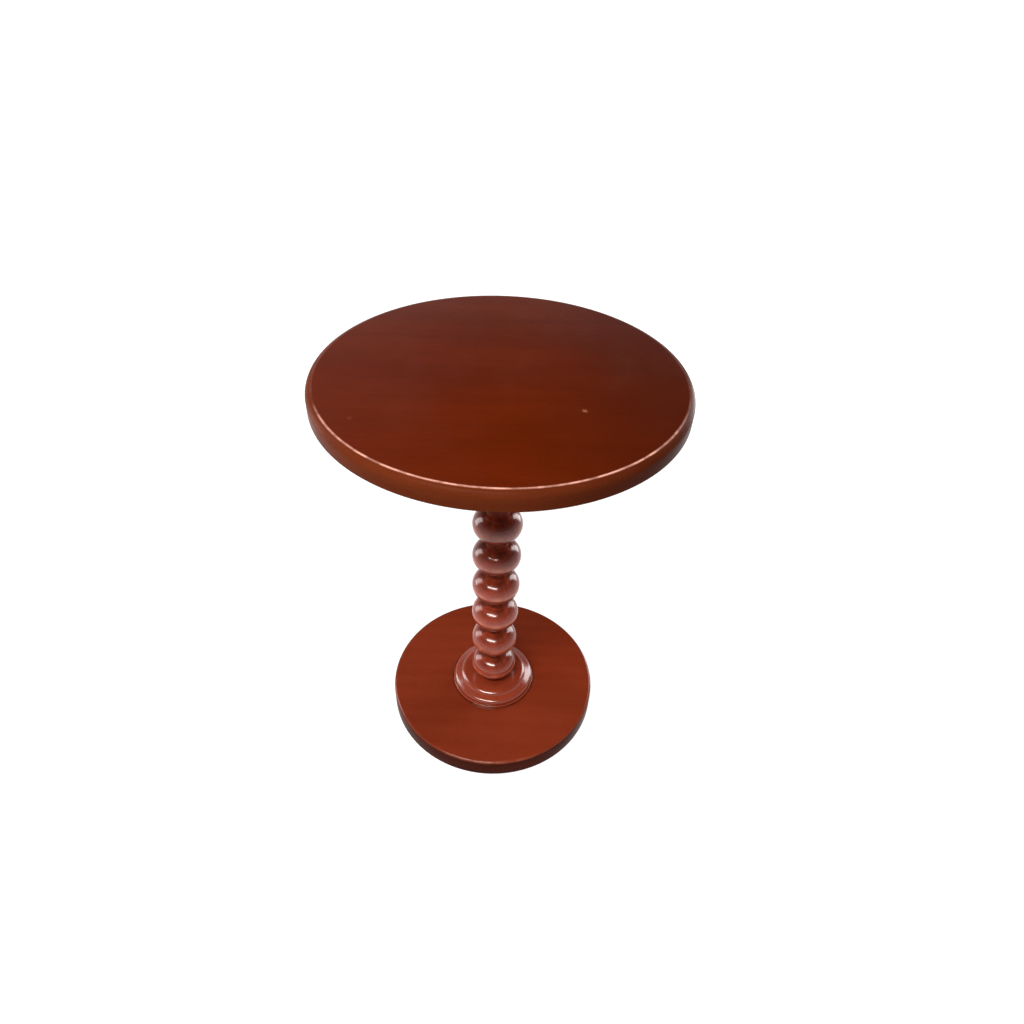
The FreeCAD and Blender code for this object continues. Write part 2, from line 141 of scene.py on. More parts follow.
def newMaterial(name):
    material = bpy.data.materials.new(name)
    material.use_nodes = True
    tree = material.node_tree
    coords = tree.nodes.new("ShaderNodeTexCoord")
    return material, tree, tree.nodes["Principled BSDF"], coords.outputs["Object"]


def newGroup(name, inputs, outputs):
    group = bpy.data.node_groups.new(name, "ShaderNodeTree")
    for socketName, kind, default in inputs:
        socket = group.interface.new_socket(socketName, in_out="INPUT", socket_type=kind)
        if default is not None:
            socket.default_value = default
    for socketName, kind in outputs:
        group.interface.new_socket(socketName, in_out="OUTPUT", socket_type=kind)
    return group, group.nodes.new("NodeGroupInput"), group.nodes.new("NodeGroupOutput")


def feed(tree, socket, value):
    # a socket takes a link, a colour or a number
    if isinstance(value, bpy.types.NodeSocket):
        tree.links.new(value, socket)
    elif isinstance(value, tuple):
        socket.default_value = (*value, 1)
    else:
        socket.default_value = value


def placeGroup(tree, group, vector, values):
    node = tree.nodes.new("ShaderNodeGroup")
    node.node_tree = group
    tree.links.new(vector, node.inputs["Vector"])
    for socketName, value in values.items():
        feed(tree, node.inputs[socketName], value)
    return node


def mathNode(tree, operation, first, second=None):
    node = tree.nodes.new("ShaderNodeMath")
    node.operation = operation
    feed(tree, node.inputs[0], first)
    if second is not None:
        feed(tree, node.inputs[1], second)
    return node.outputs[0]


def lengthOf(tree, across, along):
    squares = [mathNode(tree, "MULTIPLY", value, value) for value in (across, along)]
    return mathNode(tree, "SQRT", mathNode(tree, "ADD", *squares))


def rangeNode(tree, value, fromLow, fromHigh, toLow, toHigh):
    node = tree.nodes.new("ShaderNodeMapRange")
    node.interpolation_type = "SMOOTHSTEP"
    ends = {"From Min": fromLow, "From Max": fromHigh, "To Min": toLow, "To Max": toHigh}
    for socketName, number in ends.items():
        feed(tree, node.inputs[socketName], number)
    tree.links.new(value, node.inputs["Value"])
    return node.outputs["Result"]


def mixColour(tree, mask, first, second):
    node = tree.nodes.new("ShaderNodeMix")
    node.data_type = "RGBA"
    for index, value in ((0, mask), (6, first), (7, second)):  # factor, A and B for colours
        feed(tree, node.inputs[index], value)
    return node.outputs[2]


def noiseNode(tree, vector, scale, detail=2.0, roughness=0.5):
    node = tree.nodes.new("ShaderNodeTexNoise")
    node.inputs["Scale"].default_value = scale
    node.inputs["Detail"].default_value = detail
    node.inputs["Roughness"].default_value = roughness
    tree.links.new(vector, node.inputs["Vector"])
    return node.outputs["Fac"]


def stretched(tree, vector, scale, turn=(0, 0, 0), place=(0, 0, 0)):
    node = tree.nodes.new("ShaderNodeMapping")
    node.inputs["Scale"].default_value = scale
    node.inputs["Rotation"].default_value = tuple(math.radians(a) for a in turn)
    node.inputs["Location"].default_value = place
    tree.links.new(vector, node.inputs["Vector"])
    return node.outputs["Vector"]


def axesOf(tree, vector):
    parts = tree.nodes.new("ShaderNodeSeparateXYZ")
    tree.links.new(vector, parts.inputs[0])
    return parts.outputs


def bumpNode(tree, height, strength, distance):
    node = tree.nodes.new("ShaderNodeBump")
    node.inputs["Strength"].default_value = strength
    node.inputs["Distance"].default_value = distance
    tree.links.new(height, node.inputs["Height"])
    return node.outputs["Normal"]


def wireSurface(tree, shader, colour, rough, normal):
    tree.links.new(colour, shader.inputs["Base Color"])
    tree.links.new(rough, shader.inputs["Roughness"])
    tree.links.new(normal, shader.inputs["Normal"])


# shared effects

grainFigure = {
    "ringWarp": 5.5,
    "ringDetail": 3.0,
    "ringDetailScale": 1.2,
    "ringStretch": (1, 1, 0.16),
    "ringPlace": (0.31, 0.17, 0),
    "fibreStretch": (1, 1, 0.035),
    "fibre": (420, 3.0, 0.6),
    "blotchStretch": (1, 1, 0.45),
    "blotch": (11, 3.0, 0.55),
    "poreStretch": (1, 1, 0.045),
    "pore": (1250, 1.0, 0.5),
    "poreRange": (0.60, 0.72),
    "ringShare": 0.16,
    "fibreShare": 0.34,
    "blotchShare": 0.80,
    "figureRange": (0.40, 0.90),
    "poreShare": 0.22,
    "poreColour": (0.017, 0.0043, 0.0014),
}


def makeStainedGrain(look):
    # grain runs along Z of the vector: growth rings, fibre streaks, pores and slow blotches
    group, source, result = newGroup(
        "stainedGrain",
        [
            ("Vector", "NodeSocketVector", None),
            ("Ring Scale", "NodeSocketFloat", 14.0),
            ("Dark", "NodeSocketColor", (0.1, 0.01, 0.002, 1)),
            ("Light", "NodeSocketColor", (0.2, 0.02, 0.004, 1)),
        ],
        [("Color", "NodeSocketColor"), ("Figure", "NodeSocketFloat"), ("Pores", "NodeSocketFloat")],
    )
    vector = source.outputs["Vector"]
    rings = group.nodes.new("ShaderNodeTexWave")
    rings.wave_type = "RINGS"
    rings.rings_direction = "Z"
    rings.wave_profile = "SIN"
    rings.inputs["Distortion"].default_value = look["ringWarp"]
    rings.inputs["Detail"].default_value = look["ringDetail"]
    rings.inputs["Detail Scale"].default_value = look["ringDetailScale"]
    ringSpace = stretched(group, vector, look["ringStretch"], place=look["ringPlace"])
    group.links.new(ringSpace, rings.inputs["Vector"])
    group.links.new(source.outputs["Ring Scale"], rings.inputs["Scale"])
    fibre = noiseNode(group, stretched(group, vector, look["fibreStretch"]), *look["fibre"])
    blotch = noiseNode(group, stretched(group, vector, look["blotchStretch"]), *look["blotch"])
    poreNoise = noiseNode(group, stretched(group, vector, look["poreStretch"]), *look["pore"])
    pores = rangeNode(group, poreNoise, *look["poreRange"], 0.0, 1.0)
    ringPart = mathNode(group, "MULTIPLY", rings.outputs["Fac"], look["ringShare"])
    fibrePart = mathNode(group, "MULTIPLY", fibre, look["fibreShare"])
    blotchPart = mathNode(group, "MULTIPLY", blotch, look["blotchShare"])
    figure = mathNode(group, "ADD", mathNode(group, "ADD", ringPart, fibrePart), blotchPart)
    figure = rangeNode(group, figure, *look["figureRange"], 0.0, 1.0)
    stain = mixColour(group, figure, source.outputs["Dark"], source.outputs["Light"])
    poreMask = mathNode(group, "MULTIPLY", pores, look["poreShare"])
    stain = mixColour(group, poreMask, stain, look["poreColour"])
    group.links.new(stain, result.inputs["Color"])
    group.links.new(figure, result.inputs["Figure"])
    group.links.new(pores, result.inputs["Pores"])
    return group


bandBreak = {"noise": (60, 3.0, 0.6), "range": (0.35, 0.65), "least": 0.35}


def makeEdgeBand(look):
    # mask along one turned edge, given by its radius and height, broken up a little
    group, source, result = newGroup(
        "edgeBand",
        [
            ("Vector", "NodeSocketVector", None),
            ("Edge Radius", "NodeSocketFloat", 0.1),
            ("Edge Height", "NodeSocketFloat", 0.1),
            ("Width", "NodeSocketFloat", 0.003),
        ],
        [("Mask", "NodeSocketFloat")],
    )
    vector = source.outputs["Vector"]
    axes = axesOf(group, vector)
    radius = lengthOf(group, axes["X"], axes["Y"])
    outward = mathNode(group, "SUBTRACT", radius, source.outputs["Edge Radius"])
    upward = mathNode(group, "SUBTRACT", axes["Z"], source.outputs["Edge Height"])
    away = lengthOf(group, outward, upward)
    near = rangeNode(group, away, 0.0, source.outputs["Width"], 1.0, 0.0)
    broken = noiseNode(group, vector, *look["noise"])
    ragged = rangeNode(group, broken, *look["range"], look["least"], 1.0)
    group.links.new(mathNode(group, "MULTIPLY", near, ragged), result.inputs["Mask"])
    return group


skinRelief = {
    "peel": (190, 2.0, 0.5),
    "peelShare": 0.35,
    "ripple": (28, 1.0, 0.5),
    "rippleShare": 0.65,
    "smearStretch": (1, 0.45, 1),
    "smearTurn": (0, 0, 35),
    "smear": (16, 4.0, 0.62),
    "smearRange": (0.42, 0.72),
    "dust": (900, 0.0, 0.5),
    "dustRange": (0.74, 0.80),
}


def makeLacquerSkin(look):
    # orange peel for the bump, hand smears for the roughness, and specks of dust
    group, source, result = newGroup(
        "lacquerSkin",
        [
            ("Vector", "NodeSocketVector", None),
            ("Gloss", "NodeSocketFloat", 0.14),
            ("Smear", "NodeSocketFloat", 0.10),
        ],
        [(name, "NodeSocketFloat") for name in ("Height", "Roughness", "Dust")],
    )
    vector = source.outputs["Vector"]
    peel = mathNode(group, "MULTIPLY", noiseNode(group, vector, *look["peel"]), look["peelShare"])
    ripple = noiseNode(group, vector, *look["ripple"])
    ripple = mathNode(group, "MULTIPLY", ripple, look["rippleShare"])
    smearSpace = stretched(group, vector, look["smearStretch"], look["smearTurn"])
    smear = noiseNode(group, smearSpace, *look["smear"])
    smear = rangeNode(group, smear, *look["smearRange"], 0.0, 1.0)
    dulled = mathNode(group, "MULTIPLY", smear, source.outputs["Smear"])
    rough = mathNode(group, "ADD", source.outputs["Gloss"], dulled)
    dust = noiseNode(group, vector, *look["dust"])
    dust = rangeNode(group, dust, *look["dustRange"], 0.0, 1.0)
    group.links.new(mathNode(group, "ADD", peel, ripple), result.inputs["Height"])
    group.links.new(rough, result.inputs["Roughness"])
    group.links.new(dust, result.inputs["Dust"])
    return group


def makeBeadFold():
    # height above or below the nearest bead's middle, so one edge serves every bead
    group, source, result = newGroup(
        "beadFold",
        [
            ("Vector", "NodeSocketVector", None),
            ("First Middle", "NodeSocketFloat", 0.1),
            ("Pitch", "NodeSocketFloat", 0.06),
        ],
        [("Vector", "NodeSocketVector")],
    )
    axes = axesOf(group, source.outputs["Vector"])
    pitch = source.outputs["Pitch"]
    half = mathNode(group, "MULTIPLY", pitch, 0.5)
    above = mathNode(group, "SUBTRACT", axes["Z"], source.outputs["First Middle"])
    folded = mathNode(group, "FLOORED_MODULO", mathNode(group, "ADD", above, half), pitch)
    away = mathNode(group, "ABSOLUTE", mathNode(group, "SUBTRACT", folded, half))
    joined = group.nodes.new("ShaderNodeCombineXYZ")
    for axis, value in (("X", axes["X"]), ("Y", axes["Y"]), ("Z", away)):
        group.links.new(value, joined.inputs[axis])
    group.links.new(joined.outputs[0], result.inputs["Vector"])
    return group


stainedGrain = makeStainedGrain(grainFigure)
edgeBand = makeEdgeBand(bandBreak)
lacquerSkin = makeLacquerSkin(skinRelief)
beadFold = makeBeadFold()
print("shared effects made")

# lacquered and plain wood

lacquerMarks = {
    # share of the edge's wear and painted highlight left on the far side
    "farSideWearAndHighlight": 0.08,
    # lighter spots where small dents catch the light: painted glints
    "glintNoise": 700,
    "glintRagged": 1.6,
    "glintRange": (0.8, 1.3),
    "dentGlintColour": (0.78, 0.286, 0.143),
    "dustShare": 0.03,
    "dustColour": (0.5, 0.42, 0.38),
    "poreSink": -0.12,
    "peelDepth": 0.0004,
}


def placeGrain(tree, objectSpace, look):
    turned = stretched(tree, objectSpace, (1, 1, 1), look["grainTurn"], look["grainPlace"])
    return placeGroup(tree, stainedGrain, turned, {
        "Ring Scale": look["ringScale"], "Dark": look["dark"], "Light": look["light"]
    })


def edgeMask(tree, space, edge, share):
    edgeRadius, edgeHeight, width = edge
    rub = placeGroup(tree, edgeBand, space, {
        "Edge Radius": edgeRadius, "Edge Height": edgeHeight, "Width": width
    })
    return mathNode(tree, "MULTIPLY", rub.outputs["Mask"], share)


def dentGlintMask(tree, objectSpace, spot, size, share):
    reach = tree.nodes.new("ShaderNodeVectorMath")
    reach.operation = "DISTANCE"
    reach.inputs[1].default_value = spot
    tree.links.new(objectSpace, reach.inputs[0])
    ragged = noiseNode(tree, objectSpace, lacquerMarks["glintNoise"])
    ragged = mathNode(tree, "MULTIPLY", ragged, size * lacquerMarks["glintRagged"])
    uneven = mathNode(tree, "ADD", reach.outputs["Value"], ragged)
    inner, outer = lacquerMarks["glintRange"]
    return rangeNode(tree, uneven, size * inner, size * outer, share, 0.0)


def makeLacquer(look):
    # stained wood under gloss lacquer; each turned piece has its own stain, grain and edges
    material, tree, shader, objectSpace = newMaterial(look["name"])
    axes = axesOf(tree, objectSpace)
    grain = placeGrain(tree, objectSpace, look)
    colour = grain.outputs["Color"]
    edgeSpace = objectSpace
    if "pitch" in look:
        fold = placeGroup(tree, beadFold, objectSpace, {
            "First Middle": look["firstMiddle"], "Pitch": look["pitch"]
        })
        edgeSpace = fold.outputs["Vector"]
    # painted shade over one side of the piece
    if "paintedShadeSide" in look:
        shade = rangeNode(tree, axes["X"], *look["paintedShadeSide"], 0.0, look["paintedSideShare"])
        colour = mixColour(tree, shade, colour, look["paintedShadeColour"])
    # lighter bands along turned edges: partly wear, partly painted highlight, kept mostly to the
    # front
    for edge in look["rubbed"]:
        marked = edgeMask(tree, edgeSpace, edge, look["wearAndHighlightShare"])
        if "highlightSide" in look:
            side = rangeNode(tree, axes["Y"], *look["highlightSide"], 1.0, lacquerMarks["farSideWearAndHighlight"])
            marked = mathNode(tree, "MULTIPLY", marked, side)
        colour = mixColour(tree, marked, colour, look["wearAndHighlightColour"])
    # painted shade: darker bands into necks, joints and along lower edges
    for edge in look.get("pooled", []):
        pool = edgeMask(tree, edgeSpace, edge, look["paintedShadeShare"])
        colour = mixColour(tree, pool, colour, look["paintedShadeColour"])
    # painted glints: lighter spots where small dents catch the light
    for dentSpot in look.get("dentGlints", []):
        glint = dentGlintMask(tree, objectSpace, *dentSpot)
        colour = mixColour(tree, glint, colour, lacquerMarks["dentGlintColour"])
    skin = placeGroup(tree, lacquerSkin, objectSpace, {
        "Gloss": look["gloss"], "Smear": look["smear"]
    })
    dust = mathNode(tree, "MULTIPLY", skin.outputs["Dust"], lacquerMarks["dustShare"])
    colour = mixColour(tree, dust, colour, lacquerMarks["dustColour"])
    sunk = mathNode(tree, "MULTIPLY", grain.outputs["Pores"], lacquerMarks["poreSink"])
    height = mathNode(tree, "ADD", skin.outputs["Height"], sunk)
    normal = bumpNode(tree, height, look["peel"], lacquerMarks["peelDepth"])
    wireSurface(tree, shader, colour, skin.outputs["Roughness"], normal)
    shader.inputs["Specular IOR Level"].default_value = look["shine"]
    return material


def makePlainWood(look):
    material, tree, shader, objectSpace = newMaterial(look["name"])
    grain = placeGrain(tree, objectSpace, look)
    rough = rangeNode(tree, grain.outputs["Figure"], 0.0, 1.0, *look["roughRange"])
    relief = mathNode(tree, "MULTIPLY", grain.outputs["Pores"], look["poreRise"])
    wireSurface(tree, shader, grain.outputs["Color"], rough, bumpNode(tree, relief, *look["bump"]))
    shader.inputs["Specular IOR Level"].default_value = look["shine"]
    return material


# round top

topLow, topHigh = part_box("tabletop")
topLook = {
    "name": "topLacquer",
    "arrisIn": 0.0075,
    "arrisDrop": 0.008,
    "edgeBend": 0.009,
    "edgeSteps": 12,
    "lowerRound": 0.0025,
    "lowerSteps": 8,
    "supportRing": 0.002,
    "spinSteps": 256,
    "ringScale": 16.0,
    "dark": (0.080, 0.0080, 0.0004),
    "light": (0.1014, 0.0109, 0.0009),
    # painted shade: the top darkens towards its right side
    "paintedShadeSide": (0.00, 0.20),
    "paintedSideShare": 0.58,
    "grainTurn": (0, 90, 0),
    "grainPlace": (0.02, 0.03, 0),
    # painted highlight along the arris, strongest at the front
    "wearAndHighlightWidth": 0.0020,
    "highlightSide": (-0.140, -0.070),
    "wearAndHighlightShare": 0.85,
    "wearAndHighlightColour": (0.86, 0.443, 0.343),
    # painted glints of two small dents: place, size and strength
    "dentGlints": [
        ((0.0924, -0.0783, 0.610), 0.0076, 0.36),
        ((-0.1611, -0.1069, 0.610), 0.0080, 0.05),
    ],
    "paintedShadeColour": (0.043, 0.0057, 0.0014),
    "gloss": 0.16,
    "smear": 0.08,
    "peel": 0.10,
    "shine": 0.20,
}


def makeTop(look):
    radius = min(topHigh.x, -topLow.x)
    lower = look["lowerRound"]
    ring = look["supportRing"]
    arris = (radius - look["arrisIn"], topHigh.z)
    shoulder = (radius, topHigh.z - look["arrisDrop"])
    outline = [(0, topLow.z), (radius / 2, topLow.z), (radius - lower - ring, topLow.z)]
    outline += arcRun((radius - lower, topLow.z + lower), lower, -90, 0, look["lowerSteps"])
    outline += bulge(shoulder, arris, look["edgeBend"], look["edgeSteps"])
    outline += [(arris[0] - ring, topHigh.z), (radius / 2, topHigh.z), (0, topHigh.z)]
    # painted highlight along the arris
    look["rubbed"] = [(topHigh.x - look["arrisIn"], topHigh.z, look["wearAndHighlightWidth"])]
    top = turnOnLathe("round_top", outline, look["spinSteps"])
    top.data.materials.append(makeLacquer(look))
    standFor(top, "tabletop")
    return top


roundTop = makeTop(topLook)
print("round top turned")

# beaded column

columnLow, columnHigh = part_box("column")
collarLow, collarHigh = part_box("foot_collar")
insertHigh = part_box("column_foot_insert")[1]
columnLook = {
    "name": "columnLacquer",
    "beads": 9,
    "beadHeight": 0.0438,
    "beadSteps": 26,
    "neckRadius": 0.0155,
    "neckFillet": 0.0015,
    "filletSteps": 5,
    "filletStart": 0.0002,
    "shoulder": 0.002,
    "headLength": 0.003,
    "boreRadius": 0.00805,
    "footDepth": 0.030,
    "headDepth": 0.034,
    "flangeDepth": 0.0015,
    "spinSteps": 128,
    "ringScale": 26.0,
    "dark": (0.258, 0.0305, 0.0104),
    "light": (0.348, 0.0446, 0.0158),
    "grainTurn": (0, 0, 0),
    "grainPlace": (0.01, 0.02, 0),
    # a lighter band round each bead's widest part: partly wear, partly painted highlight
    "wearAndHighlightWidth": 0.007,
    "wearAndHighlightShare": 0.72,
    "wearAndHighlightColour": (0.66, 0.185, 0.106),
    # painted shade in each neck, reaching over the upper part of each bead
    "paintedShadeWidth": 0.045,
    "paintedShadeShare": 0.97,
    "paintedShadeColour": (0.034, 0.0060, 0.0026),
    "gloss": 0.17,
    "smear": 0.05,
    "peel": 0.10,
    "shine": 0.56,
}


def beadOutline(middle, look):
    # fillet, bead and fillet, from the lower neck to the upper one
    neck = look["neckRadius"]
    half = look["beadHeight"] / 2
    swell = columnHigh.x - neck
    bend = (half ** 2 + swell ** 2) / (2 * swell)
    centre = columnHigh.x - bend
    fillet = look["neckFillet"]
    steps = look["filletSteps"]
    filletRadius = neck + fillet
    rise = math.sqrt((bend + fillet) ** 2 - (filletRadius - centre) ** 2)
    lean = math.degrees(math.atan2(rise, filletRadius - centre))
    points = arcRun((filletRadius, middle - rise), fillet, 180, 180 - lean, steps)
    points += arcRun((centre, middle), bend, -lean, lean, look["beadSteps"])[1:-1]
    points += arcRun((filletRadius, middle + rise), fillet, 180 + lean, 180, steps)
    return points


def makeColumn(look):
    neck = look["neckRadius"]
    tenon = neck - look["shoulder"]
    bore = look["boreRadius"]
    flange = insertHigh.x
    shoulderHeight = collarHigh.z
    half = look["beadHeight"] / 2
    firstMiddle = shoulderHeight + half
    lastMiddle = columnHigh.z - look["headLength"] - half
    pitch = (lastMiddle - firstMiddle) / (look["beads"] - 1)
    outline = [
        (0, columnLow.z + look["footDepth"]),
        (bore, columnLow.z + look["footDepth"]),
        (bore, columnLow.z + look["flangeDepth"]),
        (flange, columnLow.z + look["flangeDepth"]),
        (flange, columnLow.z),
        (tenon, columnLow.z),
        (tenon, shoulderHeight),
        (neck, shoulderHeight),
    ]
    for bead in range(look["beads"]):
        points = beadOutline(firstMiddle + bead * pitch, look)
        if bead == 0:  # the first bead stands on the collar
            points = [point for point in points if point[1] > shoulderHeight + look["filletStart"]]
        outline += points
    outline += [
        (neck, columnHigh.z),
        (flange, columnHigh.z),
        (flange, columnHigh.z - look["flangeDepth"]),
        (bore, columnHigh.z - look["flangeDepth"]),
        (bore, columnHigh.z - look["headDepth"]),
        (0, columnHigh.z - look["headDepth"]),
    ]
    look["firstMiddle"] = firstMiddle
    look["pitch"] = pitch
    # lighter band at each bead's widest part: partly wear, partly painted highlight
    look["rubbed"] = [(columnHigh.x, 0, look["wearAndHighlightWidth"])]
    # painted shade in each neck and over the upper part of each bead
    look["pooled"] = [(neck, pitch / 2, look["paintedShadeWidth"])]
    column = turnOnLathe("beaded_column", outline, look["spinSteps"])
    column.data.materials.append(makeLacquer(look))
    standFor(column, "column")
    return column


beadedColumn = makeColumn(columnLook)
print("column turned")

# foot collar

collarLook = {
    "name": "collarLacquer",
    "boreRoom": 0.00005,
    "stepHeight": 0.003,
    "stepRound": 0.0006,
    "roundSteps": 4,
    "ledge": 0.0022,
    "rollBend": 0.0065,
    "rollIn": 0.0036,
    "rollHeight": 0.0091,
    "rollSteps": 16,
    "slopeWidth": 0.0072,
    "slopeRise": 0.0026,
    "crownBend": 0.008,
    "crownWidth": 0.0062,
    "crownSteps": 10,
    "supportRing": 0.001,
    "spinSteps": 160,
    "ringScale": 22.0,
    "dark": (0.180, 0.0229, 0.0074),
    "light": (0.240, 0.0336, 0.0114),
    "grainTurn": (0, 90, 20),
    "grainPlace": (0.05, 0.01, 0.03),
    # a lighter line on the step's edge: partly wear, partly painted highlight
    "wearAndHighlightWidth": 0.003,
    "wearAndHighlightShare": 0.35,
    "wearAndHighlightColour": (0.43, 0.086, 0.029),
    # painted shade where the collar meets the base and under the lowest bead
    "footShadeWidth": 0.004,
    "crownShadeWidth": 0.028,
    "paintedShadeShare": 0.6,
    "paintedShadeColour": (0.071, 0.0086, 0.0029),
    "gloss": 0.17,
    "smear": 0.06,
    "peel": 0.10,
    "shine": 0.90,
}


def makeCollar(look):
    neck = columnLook["neckRadius"]
    bore = neck - columnLook["shoulder"] + look["boreRoom"]
    radius = collarHigh.x
    foot = collarLow.z
    head = collarHigh.z
    step = look["stepHeight"]
    soft = look["stepRound"]
    rollFoot = (radius - look["ledge"], foot + step)
    rollHead = (rollFoot[0] - look["rollIn"], rollFoot[1] + look["rollHeight"])
    crownFoot = (rollHead[0] - look["slopeWidth"], rollHead[1] + look["slopeRise"])
    crownHead = (crownFoot[0] - look["crownWidth"], head)
    outline = [(bore, foot), (radius, foot)]
    outline += arcRun((radius - soft, foot + step - soft), soft, 0, 90, look["roundSteps"])
    outline += bulge(rollFoot, rollHead, look["rollBend"], look["rollSteps"])
    outline += bulge(crownFoot, crownHead, look["crownBend"], look["crownSteps"])
    outline += [(crownHead[0] - look["supportRing"], head), (bore, head), (bore, foot)]
    # lighter line on the step's edge: partly wear, partly painted highlight
    look["rubbed"] = [(radius, foot + step, look["wearAndHighlightWidth"])]
    # painted shade at the collar's foot and under the lowest bead
    look["pooled"] = [(radius, foot, look["footShadeWidth"]), (neck, head, look["crownShadeWidth"])]
    collar = turnOnLathe("turned_collar", outline, look["spinSteps"])
    collar.data.materials.append(makeLacquer(look))
    standFor(collar, "foot_collar")
    return collar


turnedCollar = makeCollar(collarLook)
print("collar turned")

# round base

baseLow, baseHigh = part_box("base_disc")
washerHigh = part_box("base_flat_washer")[1]
baseLook = {
    "name": "baseLacquer",
    "upperRound": 0.004,
    "upperSteps": 10,
    "lowerRound": 0.002,
    "lowerSteps": 8,
    "supportRing": 0.002,
    "washerRoom": 0.002,
    "boltHoleRadius": 0.0055,
    "spinSteps": 224,
    "ringScale": 15.0,
    "dark": (0.161, 0.0206, 0.0062),
    "light": (0.185, 0.0254, 0.0080),
    # painted shade: the base darkens towards its left side
    "paintedShadeSide": (0.07, -0.05),
    "paintedSideShare": 0.10,
    "grainTurn": (0, 90, -14),
    "grainPlace": (-0.03, 0.05, 0.02),
    # painted highlight on the front of the upper arris
    "wearAndHighlightWidth": 0.005,
    "highlightSide": (-0.162, -0.140),
    "wearAndHighlightShare": 0.40,
    "wearAndHighlightColour": (0.49, 0.143, 0.071),
    # painted shade at the floor edge and round the collar's foot
    "footShadeWidth": 0.008,
    "collarShadeWidth": 0.004,
    "paintedShadeShare": 0.85,
    "paintedShadeColour": (0.031, 0.0043, 0.0014),
    "gloss": 0.17,
    "smear": 0.09,
    "peel": 0.10,
    "shine": 0.26,
}


def makeBase(look):
    radius = baseHigh.x
    foot = baseLow.z
    head = baseHigh.z
    seat = washerHigh.z
    upper = look["upperRound"]
    lower = look["lowerRound"]
    ring = look["supportRing"]
    hole = look["boltHoleRadius"]
    well = washerHigh.x + look["washerRoom"]
    outline = [(hole, seat), (well, seat), (well, foot), (radius / 2, foot)]
    outline += [(radius - lower - ring, foot)]
    outline += arcRun((radius - lower, foot + lower), lower, -90, 0, look["lowerSteps"])
    outline += arcRun((radius - upper, head - upper), upper, 0, 90, look["upperSteps"])
    outline += [(radius - upper - ring, head), (radius / 2, head), (hole, head), (hole, seat)]
    # painted highlight on the front of the upper arris
    look["rubbed"] = [(radius, head, look["wearAndHighlightWidth"])]
    # painted shade at the base's foot and round the collar
    look["pooled"] = [(radius, foot, look["footShadeWidth"]), (collarHigh.x, head, look["collarShadeWidth"])]
    base = turnOnLathe("round_base", outline, look["spinSteps"])
    base.data.materials.append(makeLacquer(look))
    standFor(base, "base_disc")
    return base


roundBase = makeBase(baseLook)
print("base turned")

# edges and necks are less polished, undersides are sealed and not lacquered

topEdge = {
    "name": "topEdgeLacquer",
    "shine": 0.015,
    "gloss": 0.30,
    "dark": (0.0925, 0.0160, 0.0041),
    "light": (0.1200, 0.0222, 0.0066),
}
# the rim is darker than the base top: partly stain soaked into end grain, partly painted shade
baseEdge = {
    "name": "baseEdgeLacquer",
    "shine": 0.012,
    "gloss": 0.30,
    "dark": (0.0520, 0.0064, 0.0017),
    "light": (0.0740, 0.0098, 0.0029),
}
neckSkin = {
    "name": "neckLacquer",
    "shine": 0.06,
    "gloss": 0.30,
    # the necks' own painted shade colour
    "paintedShadeColour": (0.086, 0.017, 0.0071),
}
sealedLook = {
    "name": "sealedUnderside",
    "ringScale": 16.0,
    "dark": (0.074, 0.0129, 0.0043),
    "light": (0.150, 0.0286, 0.0100),
    "grainTurn": (0, 90, 0),
    "grainPlace": (0.04, 0.02, 0),
    "roughRange": (0.62, 0.48),
    "poreRise": -1.0,
    "bump": (0.35, 0.0003),
    "shine": 0.3,
}
sealedWood = makePlainWood(sealedLook)
paintFaces(roundTop, makeLacquer({**topLook, **topEdge}), facesOut)
paintFaces(roundBase, makeLacquer({**baseLook, **baseEdge}), facesRim)
paintFaces(beadedColumn, makeLacquer({**columnLook, **neckSkin}), onNeck)
paintFaces(roundTop, sealedWood, facesDown)
paintFaces(roundBase, sealedWood, facesDown)
print("edges, necks and undersides finished")

# hardware finishes on the carried-over nodes

zincLook = {
    "name": "zincPlate",
    "cloud": (240, 3.0, 0.6),
    "dark": (0.50, 0.51, 0.52),
    "light": (0.72, 0.70, 0.62),
    "spangleScale": 900,
    "spangleShare": 0.35,
    "spangleColour": (0.40, 0.41, 0.44),
    "roughRange": (0.24, 0.42),
    "turningStretch": (1, 1, 14),
    "turning": (500, 2.0, 0.5),
    "bump": (0.12, 0.0001),
}
brassLook = {
    "name": "plainBrass",
    "cloud": (180, 4.0, 0.6),
    "fine": (180, 4.0, 0.6),
    "dark": (0.62, 0.42, 0.14),
    "light": (0.42, 0.27, 0.10),
    "roughRange": (0.25, 0.48),
    "bump": (0.08, 0.0001),
    "metal": 1.0,
}
powderLook = {
    "name": "blackPowderCoat",
    "cloud": (40, 3.0, 0.5),
    "fine": (1500, 2.0, 0.5),
    "dark": (0.012, 0.012, 0.013),
    "light": (0.026, 0.025, 0.025),
    "roughRange": (0.42, 0.60),
    "bump": (0.30, 0.00025),
    "metal": 0.0,
}
nylonLook = {
    "name": "glideNylon",
    "cloud": (60, 2.0, 0.5),
    "dark": (0.016, 0.011, 0.009),
    "light": (0.028, 0.020, 0.016),
    "scuffStretch": (1, 0.2, 1),
    "scuffTurn": (0, 0, 25),
    "scuff": (420, 4.0, 0.65),
    "scuffRange": (0.58, 0.72),
    "scuffShare": 0.5,
    "scuffColour": (0.085, 0.070, 0.060),
    "roughRange": (0.38, 0.62),
    "bump": (0.10, 0.0002),
}
beechLook = {
    "name": "bareBeech",
    "ringScale": 60.0,
    "dark": (0.42, 0.26, 0.14),
    "light": (0.58, 0.40, 0.24),
    "grainTurn": (0, 0, 0),
    "grainPlace": (0, 0, 0),
    "roughRange": (0.70, 0.55),
    "poreRise": 1.0,
    "bump": (0.2, 0.0002),
    "shine": 0.5,
}


